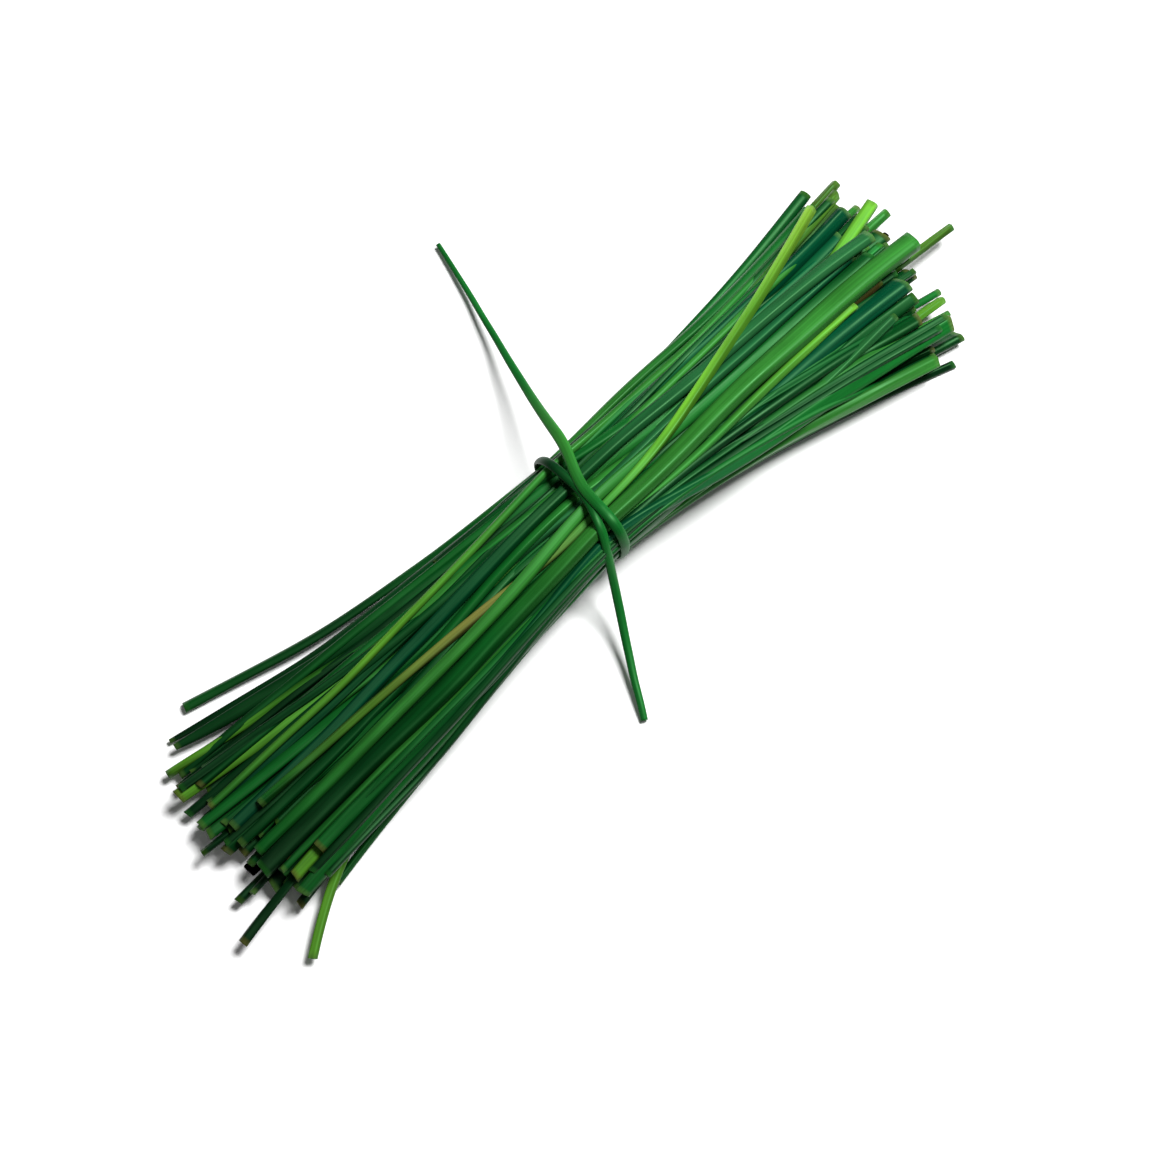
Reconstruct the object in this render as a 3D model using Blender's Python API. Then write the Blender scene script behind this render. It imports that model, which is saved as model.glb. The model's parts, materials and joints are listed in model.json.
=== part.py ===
"""A bunch of cut chives that lies on a table, tied round its middle with one more chive leaf.

X runs along the bunch, from the thin dark ends of the leaves towards their wide pale bases.
Z is up, and the leaves' ends and the underside of the tie rest on Z = 0.
Each leaf is one solid of its own, and so is the tie.
"""

import math
import random

import bpy
import numpy as np

# Driving dimensions, in metres
MM = 0.001
GAP = 0.4 * MM
WAIST_HALF_WIDTH = 12.3 * MM
WAIST_HALF_HEIGHT = 10.2 * MM
TIE_RADIUS = 0.7 * MM
TIE_CLEARANCE = 0.4 * MM
TUCKED_CLEARANCE = 0.7 * MM
WAIST_LIFT = 2 * TIE_RADIUS + TIE_CLEARANCE + 0.1 * MM
STATIONS = np.array([-115, -100, -85, -70, -55, -40, -25, -12, 0, 12, 25, 40, 55, 70, 85, 100]) * MM
ROUTE_STATIONS = np.array([-96, -81, -52, -23, 0, 27, 59, 90]) * MM

# A leaf's section: its thickness as a share of its width, and how its width changes along it
FLAT_THICKNESS = 0.64
ROUND_THICKNESS = 0.88
ROUND_UP_TO = 1.8 * MM
WIDENING = 0.14
WAIST_SQUEEZE = 0.9
BASE_END = 90 * MM
SECTION_SIDES = 8
SECTION_POWER = 0.8
LEAF_ROUGHNESS = 0.45

# The bunch's two sides, at each of STATIONS and at SIDE_HEIGHT above the table. Both lean
# towards -Y by SIDE_LEAN of the height.
SIDE_HEIGHT = 12 * MM
SIDE_LEAN = 0.28
NEAR_SIDE = -MM * np.array(
    [34.0, 30.5, 26.6, 23.6, 21.2, 18.6, 15.7, 13.5, 12.5, 12.9, 13.9, 16.3, 19.0, 22.7, 26.8, 30.6]
)
FAR_SIDE = MM * np.array(
    [17.1, 16.1, 14.2, 12.8, 11.5, 12.0, 12.5, 12.0, 12.6, 13.6, 15.2, 17.7, 19.5, 22.9, 26.3, 29.5]
)

# Rings of a leaf's mesh: none nearer to a cut end than this, and one more where it twists more
SHORTEST_STRETCH = 4 * MM
TWIST_OF_STRETCH = math.radians(14)

# How the leaves are laid on each other: the share by which each is drawn back to its route,
# the oval that they are drawn into at the tie, and the steps in which they sink to the table
SHOWN_HOLD, INNER_HOLD, HOLD_AT_TIE = 0.12, 0.03, 0.15
WAIST_END = 14 * MM
WAIST_FLARE = 0.16
LIFT_END = 50 * MM
END_MARGIN = 15 * MM
START_SPACING = 2.2 * MM
FASTEST_SINKING = 0.5 * MM
SLOWEST_SINKING = 0.04 * MM
PAIR_MARGIN = 1.5 * MM
TESTS_PER_STATION = 4
PUSH_SHARE = 0.17
BEND_SHARE, BENDS_PER_STEP = 0.08, 3
TWIST_SHARE, SETTLING_TWIST_SHARE = 0.2, 0.1
FLATTENING = np.array([0.2, 0.02])
CLOSING_STEPS, SINKING_STEPS, SETTLING_STEPS = 500, 760, 300
STEPS_PER_SEARCH = 6

# Leaves that show, from the lowest to the topmost, in millimetres:
# green, left end, right end, width, and how far to the side the leaf lies at each of ROUTE_STATIONS
SHOWN_LEAVES = (
    ("dark", -94, 82.5, 1.2, (-21.5, -19.5, -15.0, -11.8, -10.0, -12.5, -19.0, -26.0)),
    ("green", -93, 91.8, 1.6, (9.5, 8.8, 8.5, 7.8, 7.0, 9.5, 16.0, 24.3)),
    ("green", -96.8, 88.1, 1.7, (11.9, 9.8, 6.5, 5.0, 4.0, 7.0, 14.0, 20.8)),
    ("dark", -106.3, 80, 2.0, (-23.5, -20.5, -14.5, -8.5, -4.0, -5.0, -8.0, -11.0)),
    ("dark", -102, 85.4, 1.9, (-15.6, -15.2, -12.0, -6.0, 0.0, 0.0, -1.2, -1.8)),
    ("dark", -99, 82.4, 1.2, (-19.4, -17.6, -13.0, -8.0, -5.5, -6.0, -7.5, -9.4)),
    ("dark", -98.9, 89.5, 2.0, (-0.6, 0.0, 0.2, 0.5, 2.0, 4.5, 9.0, 13.7)),
    ("green", -98.6, 87, 2.4, (-3.8, -4.0, -3.6, -2.0, -1.0, 0.5, 3.2, 6.3)),
    ("dark", -101.5, 84, 1.3, (-6.0, -5.8, -5.2, -4.0, -2.5, -1.0, 1.0, 2.0)),
    ("green", -98, 82.3, 2.6, (-8.7, -8.9, -8.0, -6.5, -6.0, -6.5, -9.0, -12.4)),
    ("dark", -93.4, 80.1, 2.0, (-25.2, -22.0, -16.4, -11.0, -8.0, -9.5, -13.0, -18.6)),
    ("green", -95.9, 93.6, 1.7, (-13.7, -12.2, -9.0, -4.0, 1.0, 3.5, 6.5, 10.2)),
    ("lime", -91, 101.8, 1.3, (7.0, 6.0, 3.5, 1.5, -0.5, 0.5, 0.8, -0.6)),
    ("green", -90.2, 79, 2.4, (-25.4, -22.4, -17.6, -13.0, -9.8, -12.2, -16.2, -21.5)),
    ("lime", -92, 88.7, 2.2, (-21.0, -19.5, -16.5, -12.8, -9.0, -9.5, -10.0, -10.5)),
    ("lime", -91.1, 81, 2.6, (-23.2, -20.2, -16.2, -11.5, -7.0, -7.2, -9.0, -13.5)),
    ("green", -98.4, 89, 3.4, (6.2, 4.8, 2.8, 2.8, 3.0, 3.0, 4.2, 7.5)),
    ("dark", -88, 85.2, 2.0, (9.6, 10.0, 10.4, 11.2, 11.4, 14.6, 20.4, 28.6)),
    ("dark", -92.3, 81.1, 2.0, (18.2, 15.0, 10.8, 8.6, 6.5, 7.0, 9.3, 14.5)),
    ("dark", -90, 83, 2.2, (-23.6, -21.8, -18.4, -14.8, -12.2, -9.4, -7.2, -6.6)),
    ("teal", -92, 83.3, 3.6, (-24.2, -21.4, -17.2, -13.8, -10.8, -6.6, -4.2, -4.6)),
    ("teal", -92.4, 86.5, 3.0, (16.6, 12.8, 8.2, 6.0, 5.2, 8.5, 11.5, 15.6)),
    ("green", -88, 76, 1.6, (-23.5, -21.8, -17.5, -13.5, -11.6, -11.2, -9.6, -6.5)),
    ("green", -84.9, 78, 2.4, (-33.0, -27.9, -21.0, -15.0, -11.6, -13.0, -16.0, -22.8)),
    ("green", -84, 85.3, 2.8, (-22.5, -20.5, -17.2, -14.4, -12.4, -12.0, -13.6, -16.6)),
    ("lime", -97.8, 76, 2.0, (-36.2, -22.4, -16.6, -13.8, -11.2, -11.5, -15.8, -20.5)),
    ("lime", -94.9, 91.2, 2.2, (-9.2, -8.8, -7.2, -5.7, -4.2, -1.8, 2.6, 14.2)),
    ("green", -93.2, 82, 2.4, (-13.6, -12.8, -10.6, -7.9, -4.6, -1.1, 3.3, 6.5)),
    ("teal", -98.5, 79, 2.4, (-1.0, -1.6, -1.7, -0.3, 0.4, 1.5, 3.8, 8.2)),
    ("lime", -92.1, 71, 1.4, (-19.5, -18.2, -15.4, -12.0, -10.0, -6.8, -3.2, -1.5)),
    ("teal", -93.9, 84, 2.6, (-5.4, -4.6, -2.1, 1.9, 4.6, 4.9, 5.7, 7.0)),
    ("green", -95.1, 90.6, 4.0, (-17.1, -15.6, -13.0, -10.6, -7.9, -4.2, 0.0, 0.4)),
    ("lime", -94.8, 75, 1.4, (-0.4, 0.4, 2.9, 4.8, 6.8, 9.5, 15.5, 21.5)),
    ("green", -85.8, 82.1, 2.2, (23.8, 20.6, 14.6, 10.0, 8.6, 11.3, 17.5, 25.0)),
    ("lime", -87.2, 80.9, 1.7, (-6.2, -6.0, -4.8, -3.5, -3.2, 0.5, 11.2, 25.2)),
)

# Leaves in the middle and the underside of the bunch, which fan out evenly
INNER_LEAVES = 24
INNER_GREENS = ("dark", "green", "teal")
INNER_WIDTH = (2.4 * MM, 3.5 * MM)
INNER_LEFT_END = (-97 * MM, -86 * MM)
INNER_RIGHT_END = (75 * MM, 88 * MM)
STRAYING = (-0.25, 0.25)
FAN_LENGTH = 90 * MM
FAN_MIDDLE = np.array([-8.6, -6.8, -4.2, -2.2, 0.0, 0.2, 1.0, 1.6]) * MM
FAN_HALF_WIDTH = np.array([17.0, 16.0, 13.6, 11.6, 10.0, 12.0, 16.0, 19.5]) * MM

# Colours of the leaves: base colour, as red, green and blue
GREENS = {
    "dark": (0.015, 0.10, 0.025),
    "green": (0.04, 0.22, 0.045),
    "teal": (0.02, 0.15, 0.07),
    "lime": (0.16, 0.42, 0.07),
}

# The tie's two free ends, from where each leaves the bunch, in millimetres
LONG_TAIL = (
    (4.7, 14.7, 17.2),
    (6.0, 19.3, 13.6),
    (9.0, 30.8, 7.4),
    (12.6, 43.9, 3.2),
    (15.5, 55.5, 1.3),
    (17.7, 68.5, 0.9),
)
SHORT_TAIL = (
    (-5.2, -15.6, 10.6),
    (-6.7, -18.6, 7.0),
    (-10.9, -26.8, 3.0),
    (-14.5, -33.5, 1.5),
    (-17.8, -40.0, 0.9),
)

# Its route round the bunch: for each pass the directions between which it runs, in degrees from
# +Y over the top, and how far along the bunch it lies at each side position, in millimetres
OVER_TURNS = (50, 180)
OVER_SIDE, OVER_ALONG = (-13, -4, 1, 6, 12.2, 14), (0, 0, 0.3, 1.6, 4.1, 4.7)
UNDER_TURNS = (190, 360)
UNDER_SIDE, UNDER_ALONG = (-13, 12), (-0.1, -0.8)
TUCKED_TURNS = (370, 520)
TUCKED_SIDE, TUCKED_ALONG = (-14, -12.9, -7.3, 0, 12), (-4.4, -3.8, -1.9, 0, -0.8)
TURN_STEP = 10
TIE_STEP = 2.5 * MM

# The tie's first pass lies on its second, and comes down beside it between these two turns
LIES_ON_ITSELF_TO, LIES_BESIDE_FROM = 140, 165

# Places along the bunch at which the tie goes round all the leaves
UNDER_TIE = np.linspace(-3, 6, 6) * MM


class Leaf:
    """One leaf's length, width and route, before the leaves are laid on each other."""

    def __init__(self, green, left, right, width, route, hold):
        self.green = green
        self.left = left
        self.right = right
        self.width = width
        self.route = smooth_through(ROUTE_STATIONS, route, STATIONS)
        self.hold = hold
        self.is_round = width < ROUND_UP_TO

    def thickness_share(self):
        return ROUND_THICKNESS if self.is_round else FLAT_THICKNESS

    def width_at(self, x):
        """The width grows evenly towards the base and is squeezed near the tie."""
        near_tie = np.exp(-((x / WAIST_END) ** 2))
        return self.width * (1 + WIDENING * x / BASE_END) * (1 - (1 - WAIST_SQUEEZE) * near_tie)


def smooth_through(xs, ys, at):
    """Cubic pieces through the points, with slopes from their neighbours, and straight past the ends."""
    ys = np.asarray(ys, float)
    slopes = np.gradient(ys, xs)
    piece = np.clip(np.searchsorted(xs, at) - 1, 0, len(xs) - 2)
    span = xs[piece + 1] - xs[piece]
    u = (np.clip(at, xs[0], xs[-1]) - xs[piece]) / span
    inside = (
        (2 * u**3 - 3 * u**2 + 1) * ys[piece]
        + (u**3 - 2 * u**2 + u) * span * slopes[piece]
        + (3 * u**2 - 2 * u**3) * ys[piece + 1]
        + (u**3 - u**2) * span * slopes[piece + 1]
    )
    past = at - np.clip(at, xs[0], xs[-1])
    return inside + past * np.where(past < 0, slopes[0], slopes[-1])


def inner_leaves():
    """Leaves spread evenly over the fan's width, each in a like place at both ends of the bunch."""
    draw = random.Random(7)
    places = [2 * (i + 0.5) / INNER_LEAVES - 1 for i in range(INNER_LEAVES)]
    draw.shuffle(places)
    leaves = []
    for number, place in enumerate(places):
        far_left = max(-1, min(1, place + draw.uniform(*STRAYING)))
        far_right = max(-1, min(1, place + draw.uniform(*STRAYING)))
        share = np.interp(ROUTE_STATIONS, [-FAN_LENGTH, 0, FAN_LENGTH], [far_left, place, far_right])
        route = FAN_MIDDLE + FAN_HALF_WIDTH * share
        left = draw.uniform(*INNER_LEFT_END)
        right = draw.uniform(*INNER_RIGHT_END)
        green = INNER_GREENS[number % len(INNER_GREENS)]
        leaves.append(Leaf(green, left, right, draw.uniform(*INNER_WIDTH), route, INNER_HOLD))
    return leaves


def shown_leaves():
    return [
        Leaf(green, left * MM, right * MM, width * MM, np.array(route) * MM, SHOWN_HOLD)
        for green, left, right, width, route in SHOWN_LEAVES
    ]


def nearby_pairs(edges, apart, present, other_leaf):
    """Where two leaves' edges may soon touch: the flat places of both edges, and how far apart they stay."""
    between = edges[:, None] - edges[None, :]
    room = np.sqrt((between**2).sum(axis=-1)) - apart
    near = (room < PAIR_MARGIN) & present[:, None] & present[None, :] & other_leaf[..., None]
    first, second, sample = np.nonzero(near)
    samples = edges.shape[1]
    return first * samples + sample, second * samples + sample, apart[first, second, sample]


def push_apart(edges, pairs, share):
    """How each edge moves at each place, by a share of what it lacks to the edges beside it."""
    first, second, apart = pairs
    flat = edges.reshape(-1, 2)
    between = flat[first] - flat[second]
    distance = np.sqrt((between**2).sum(axis=-1)) + 1e-9
    lacking = np.clip(apart - distance, 0, None)
    move = between * (share * lacking / distance)[:, None]
    moves = [np.bincount(first, move[:, axis], len(flat)) for axis in range(2)]
    return np.stack(moves, axis=-1).reshape(edges.shape), lacking.max()


def bend_evenly(edges):
    """Takes out a share of each bend, from a point and its two neighbours alike."""
    for _ in range(BENDS_PER_STEP):
        bend = edges[:, :-2] - 2 * edges[:, 1:-1] + edges[:, 2:]
        edges[:, 1:-1] += 2 * BEND_SHARE * bend
        edges[:, :-2] -= BEND_SHARE * bend
        edges[:, 2:] -= BEND_SHARE * bend


def keep_width(edges, reach, twist_share, flattening):
    """Turns each leaf a little towards lying even and flat, and sets both edges to its width."""
    middle = (edges[0::2] + edges[1::2]) / 2
    across = edges[1::2] - edges[0::2]
    twist = across[:, :-2] - 2 * across[:, 1:-1] + across[:, 2:]
    across[:, 1:-1] += twist_share * twist
    across += reach[..., None] * flattening
    across *= (reach / (np.sqrt((across**2).sum(axis=-1)) + 1e-9))[..., None]
    edges[0::2] = middle - across
    edges[1::2] = middle + across


def keep_in_waist(edges, radius, half_height):
    """Draws the edges near the tie into an oval, and keeps all of them above the table."""
    centre = WAIST_LIFT + WAIST_HALF_HEIGHT
    rise = edges[..., 1] - centre
    flare = 1 + WAIST_FLARE * (STATIONS / WAIST_END) ** 2
    reach_up = np.where(rise > 0, half_height, WAIST_HALF_HEIGHT) * flare - radius
    outside = np.sqrt((edges[..., 0] / (WAIST_HALF_WIDTH * flare - radius)) ** 2 + (rise / reach_up) ** 2)
    outside = np.where(np.abs(STATIONS) < WAIST_END, np.maximum(1, outside), 1)
    edges[..., 0] /= outside
    lift = WAIST_LIFT * np.clip(1 - np.abs(STATIONS) / LIFT_END, 0, 1)
    edges[..., 1] = np.maximum(centre + rise / outside, radius + lift)


def keep_between_sides(edges, radius, low_side, high_side):
    """Keeps the edges between the bunch's two leaning sides."""
    lean = SIDE_LEAN * (edges[..., 1] - SIDE_HEIGHT)
    edges[..., 0] = np.clip(edges[..., 0], low_side + radius - lean, high_side - radius - lean)


def lay_on_each_other(leaves):
    """Side and height of both edges of each leaf at each station, so that no two leaves touch.

    A leaf's section is two round edges side by side. The leaves start high above each other, in
    their order, and sink to the table, each kept near its route and evenly bent, while an oval
    closes round them near the tie. Edges that come nearer than their radii and the gap move
    apart. All stay between the bunch's sides, apart from leaves whose own route strays further.
    Returns an array of leaf, edge, station, and (side, height).
    """
    count = len(leaves)
    width = np.array([leaf.width_at(STATIONS) for leaf in leaves])
    thickness = width * np.array([[leaf.thickness_share()] for leaf in leaves])
    reach = (width - thickness) / 2
    radius = np.repeat(thickness / 2, 2, axis=0)
    route = np.array([leaf.route for leaf in leaves])
    hold = np.array([[leaf.hold] for leaf in leaves]) * np.clip(np.abs(STATIONS) / LIFT_END, HOLD_AT_TIE, 1)
    owner = np.repeat(np.arange(count), 2)
    low_side = np.repeat(np.minimum(NEAR_SIDE, route - width / 2), 2, axis=0)
    high_side = np.repeat(np.maximum(FAR_SIDE, route + width / 2), 2, axis=0)

    tested = np.linspace(0, len(STATIONS) - 1, TESTS_PER_STATION * (len(STATIONS) - 1) + 1)
    between_stations = np.maximum(0, 1 - np.abs(tested[:, None] - np.arange(len(STATIONS))))
    places = between_stations @ STATIONS
    wide_here = radius @ between_stations.T
    apart = wide_here[:, None] + wide_here[None, :] + GAP
    left = np.array([leaf.left for leaf in leaves])[owner, None]
    right = np.array([leaf.right for leaf in leaves])[owner, None]
    present = (places > left - END_MARGIN) & (places < right + END_MARGIN)
    other_leaf = owner[:, None] != owner[None, :]

    edges = np.zeros((2 * count, len(STATIONS), 2))
    edges[0::2, :, 0] = route - reach
    edges[1::2, :, 0] = route + reach
    edges[..., 1] = (START_SPACING * (owner + 1))[:, None]
    for step in range(SINKING_STEPS + SETTLING_STEPS):
        closing = max(0, 1 - step / CLOSING_STEPS)
        if step < SINKING_STEPS:
            middle = (edges[0::2, :, 0] + edges[1::2, :, 0]) / 2
            edges[..., 0] += np.repeat(hold * (route - middle), 2, axis=0)
            edges[..., 1] -= max(SLOWEST_SINKING, FASTEST_SINKING * closing)
            bend_evenly(edges)
            keep_width(edges, reach, TWIST_SHARE, FLATTENING)
        sampled = between_stations @ edges
        if step % STEPS_PER_SEARCH == 0:
            pairs = nearby_pairs(sampled, apart, present, other_leaf)
        moves, lacking = push_apart(sampled, pairs, PUSH_SHARE)
        edges += between_stations.T @ moves
        keep_width(edges, reach, SETTLING_TWIST_SHARE, 0)
        keep_between_sides(edges, radius, low_side, high_side)
        keep_in_waist(edges, radius, WAIST_HALF_HEIGHT + closing**2 * count * START_SPACING)
    print(f"the closest leaves are {(GAP - lacking) / MM:.2f} mm apart")
    return edges.reshape(count, 2, len(STATIONS), 2)


def section_profile(name, thickness_share):
    """A closed oval outline of half-width 1, which leaves take as their section."""
    curve = bpy.data.curves.new(name, "CURVE")
    curve.dimensions = "2D"
    spline = curve.splines.new("POLY")
    spline.points.add(SECTION_SIDES - 1)
    for i, point in enumerate(spline.points):
        angle = -2 * math.pi * i / SECTION_SIDES
        across = math.copysign(abs(math.cos(angle)) ** SECTION_POWER, math.cos(angle))
        up = math.copysign(abs(math.sin(angle)) ** SECTION_POWER, math.sin(angle))
        point.co = (across, thickness_share * up, 0, 1)
    spline.use_cyclic_u = True
    outline = bpy.data.objects.new(name, curve)
    outline.hide_render = True
    outline.display_type = "WIRE"
    return outline


def leaf_material(name, colour):
    material = bpy.data.materials.new(name)
    material.use_nodes = True
    shader = material.node_tree.nodes["Principled BSDF"]
    shader.inputs["Base Color"].default_value = (*colour, 1)
    shader.inputs["Roughness"].default_value = LEAF_ROUGHNESS
    shader.inputs["Metallic"].default_value = 0
    return material


def tube(name, points, radii, tilts, profile, green):
    """A leaf or the tie: a POLY curve through the points, with closed ends, placed at its middle."""
    curve = bpy.data.curves.new(name, "CURVE")
    curve.dimensions = "3D"
    curve.use_fill_caps = True
    if profile is None:
        curve.bevel_depth = 1
        curve.bevel_resolution = 2
    else:
        curve.bevel_mode = "OBJECT"
        curve.bevel_object = profile
        curve.twist_mode = "Z_UP"
    spline = curve.splines.new("POLY")
    spline.points.add(len(points) - 1)
    origin = points[len(points) // 2]
    for point, place, radius, tilt in zip(spline.points, points, radii, tilts):
        point.co = (*(place - origin), 1)
        point.radius = radius
        point.tilt = tilt
    spline.use_smooth = True
    curve.materials.append(leaf_material(name, GREENS[green]))
    piece = bpy.data.objects.new(name, curve)
    piece.location = origin
    return piece


def ring_places(leaf, tilts):
    """Where a leaf's rings lie: its ends, the stations between them, and more where it twists."""
    between = (STATIONS > leaf.left + SHORTEST_STRETCH) & (STATIONS < leaf.right - SHORTEST_STRETCH)
    xs = np.concatenate([[leaf.left], STATIONS[between], [leaf.right]])
    for _ in range(2):
        twist = np.abs(np.diff(np.interp(xs, STATIONS, tilts)))
        middles = (xs[:-1] + xs[1:]) / 2
        xs = np.sort(np.concatenate([xs, middles[twist > TWIST_OF_STRETCH]]))
    return xs


def leaf_object(name, leaf, edges, profiles):
    """A leaf cut off square at both ends, with a point at each of its rings between them."""
    middle = edges.mean(axis=0)
    across = edges[1] - edges[0]
    tilts = np.unwrap(np.arctan2(across[:, 1], across[:, 0]), period=math.pi)
    if leaf.is_round:
        tilts = np.zeros_like(tilts)
    xs = ring_places(leaf, tilts)
    side = np.interp(xs, STATIONS, middle[:, 0])
    height = np.interp(xs, STATIONS, middle[:, 1])
    tilt = np.interp(xs, STATIONS, tilts)
    points = np.column_stack([xs, side, height])
    profile = profiles["round"] if leaf.is_round else profiles["flat"]
    return tube(name, points, leaf.width_at(xs) / 2, tilt, profile, leaf.green)


def waist_outline(leaves, edges):
    """A point for each direction on the tight outline round all the leaves near the tie."""
    rounds = []
    for leaf, edge in zip(leaves, edges):
        for x in UNDER_TIE:
            for line in edge:
                side = np.interp(x, STATIONS, line[:, 0])
                height = np.interp(x, STATIONS, line[:, 1])
                rounds.append((side, height, leaf.width_at(x) * leaf.thickness_share() / 2))
    rounds = np.array(rounds)

    def at(degrees, clearance):
        """The outline's point whose outward direction is this, in degrees from +Y towards +Z."""
        out = np.array([math.cos(math.radians(degrees)), math.sin(math.radians(degrees))])
        furthest = np.argmax(rounds[:, :2] @ out + rounds[:, 2])
        side, height, radius = rounds[furthest]
        return np.array([side, height]) + (radius + clearance) * out

    return at


def even_points(corners, step, roundings):
    """Points at even distances along a line of corners, after rounding it so many times."""
    line = np.array(corners)
    for _ in range(roundings):
        line = np.concatenate([line[:1], (line[:-1] + line[1:]) / 2, line[-1:]])
    along = np.concatenate([[0], np.cumsum(np.linalg.norm(np.diff(line, axis=0), axis=1))])
    at = np.linspace(0, along[-1], round(along[-1] / step) + 1)
    return np.column_stack([np.interp(at, along, values) for values in line.T])


def tie_route(leaves, edges):
    """Long tail, over the top, under the bunch, over the top again below itself, short tail."""
    outline = waist_outline(leaves, edges)

    def wrapped(turns, sides, alongs, clearance=TIE_CLEARANCE, raised=0.0):
        """One pass round the bunch, raised where it lies on the tie's other pass."""
        points = []
        for degrees in range(turns[0], turns[1] + 1, TURN_STEP):
            on_itself = np.interp(degrees, [LIES_ON_ITSELF_TO, LIES_BESIDE_FROM], [1, 0])
            points.append(outline(degrees, clearance + TIE_RADIUS + on_itself * raised))
        line = even_points(points, TIE_STEP, 0)
        along = np.interp(line[:, 0], np.array(sides) * MM, np.array(alongs) * MM)
        return np.column_stack([along, line])

    parts = [
        MM * np.array(LONG_TAIL[::-1]),
        wrapped(OVER_TURNS, OVER_SIDE, OVER_ALONG, raised=2 * TIE_RADIUS + GAP),
        wrapped(UNDER_TURNS, UNDER_SIDE, UNDER_ALONG),
        wrapped(TUCKED_TURNS, TUCKED_SIDE, TUCKED_ALONG, TUCKED_CLEARANCE),
        MM * np.array(SHORT_TAIL),
    ]
    return even_points(np.concatenate(parts), TIE_STEP, 2)


def rest_at_origin(holder, pieces):
    """Moves the holder so that the middle of the underside of all the pieces' box is the origin."""
    bpy.context.view_layer.update()
    graph = bpy.context.evaluated_depsgraph_get()
    points = []
    for piece in pieces:
        mesh = piece.evaluated_get(graph).to_mesh()
        points += [piece.matrix_world @ vertex.co for vertex in mesh.vertices]
    points = np.array(points)
    lowest, highest = points.min(axis=0), points.max(axis=0)
    holder.location = (*(-(lowest + highest) / 2)[:2], -lowest[2])


def main():
    for thing in list(bpy.data.objects):
        bpy.data.objects.remove(thing)
    bunch = bpy.data.collections.new("chive_bunch")
    guides = bpy.data.collections.new("guides")
    bpy.context.scene.collection.children.link(bunch)
    bpy.context.scene.collection.children.link(guides)

    leaves = inner_leaves() + shown_leaves()
    edges = lay_on_each_other(leaves)
    profiles = {
        "flat": section_profile("flat_section", FLAT_THICKNESS),
        "round": section_profile("round_section", ROUND_THICKNESS),
    }
    for outline in profiles.values():
        guides.objects.link(outline)

    pieces = []
    for number, (leaf, edge) in enumerate(zip(leaves, edges), start=1):
        pieces.append(leaf_object(f"leaf_{number:02d}", leaf, edge, profiles))
    route = tie_route(leaves, edges)
    radii = np.full(len(route), TIE_RADIUS)
    pieces.append(tube("tie_leaf", route, radii, np.zeros(len(route)), None, "dark"))

    holder = bpy.data.objects.new("bunch_middle", None)
    bunch.objects.link(holder)
    for piece in pieces:
        piece.parent = holder
        bunch.objects.link(piece)
    rest_at_origin(holder, pieces)


main()
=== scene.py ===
"""Looks of a bunch of cut chives, tied round its middle with one more chive leaf."""

import json
import math
import random

import bpy
import numpy as np
from mathutils import Matrix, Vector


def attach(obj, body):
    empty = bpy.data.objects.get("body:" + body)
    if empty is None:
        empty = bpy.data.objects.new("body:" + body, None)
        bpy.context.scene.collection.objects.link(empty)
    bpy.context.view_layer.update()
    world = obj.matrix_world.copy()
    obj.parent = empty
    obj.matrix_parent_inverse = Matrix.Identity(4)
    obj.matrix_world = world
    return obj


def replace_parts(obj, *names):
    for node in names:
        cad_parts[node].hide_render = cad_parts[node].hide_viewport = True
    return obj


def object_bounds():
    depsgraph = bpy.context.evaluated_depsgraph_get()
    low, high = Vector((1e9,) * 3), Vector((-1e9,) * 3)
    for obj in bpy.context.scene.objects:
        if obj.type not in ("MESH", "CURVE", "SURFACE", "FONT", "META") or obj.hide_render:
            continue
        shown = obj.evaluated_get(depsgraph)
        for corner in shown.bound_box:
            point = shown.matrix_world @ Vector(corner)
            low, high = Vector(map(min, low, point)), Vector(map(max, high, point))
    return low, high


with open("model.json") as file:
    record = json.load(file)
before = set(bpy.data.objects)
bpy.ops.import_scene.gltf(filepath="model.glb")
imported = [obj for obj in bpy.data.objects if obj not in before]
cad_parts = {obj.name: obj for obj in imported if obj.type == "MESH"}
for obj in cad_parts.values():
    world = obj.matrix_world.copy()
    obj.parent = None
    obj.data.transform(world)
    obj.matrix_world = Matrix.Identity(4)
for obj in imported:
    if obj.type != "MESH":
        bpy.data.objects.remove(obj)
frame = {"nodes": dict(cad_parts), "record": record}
cad_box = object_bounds()

# The leaves
# Each is one slender chive leaf, a hollow green tube that is pressed to an oval by its neighbours.
# All were cut square or slanting with a knife at both ends, and only the tie holds them together.
MM = 0.001
LEAF_COUNT = 59
LEAF_ROWS = 130
LEAF_SIDES = 24
LEAF_SWELL = 0.12 * MM
BOX_MARGIN = 0.02 * MM

# The end of a CAD leaf is the faces that look this squarely outwards, this close to its tip
END_FACING = 0.7
END_ZONE = 4 * MM

# The bell curve that calms a leaf's line reaches less far at the tie, where the leaves bend
CALMING_AT_TIE = 8 * MM
CALMING = 14 * MM
CALMED_FROM = 32 * MM

# Slow waves of a leaf's middle, as share of the reach and wavelength, and of its width. An angle
# is drawn from 0 to about a full turn.
TURN = 6.28
WAVE_REACH = 0.16 * MM
WAVES = ((1.0, 61), (0.6, 34))
UPRIGHT_SHARE = 0.5
STILL_END = 30 * MM
WIDTH_WAVE = 0.035
WIDTH_WAVELENGTHS = (25, 60)

# The section: how square its oval is, the channel pressed in along it, on top of it in six leaves
# of ten, and its low ridges
SQUARENESS = 0.85
CHANNEL_ABOVE = 0.6
CHANNEL_DEPTHS = (0.05, 0.3)
CHANNEL_REACH = 0.61
RIDGE_COUNTS = (3, 4, 5)
RIDGE_HEIGHTS = (0.03, 0.08)

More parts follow.
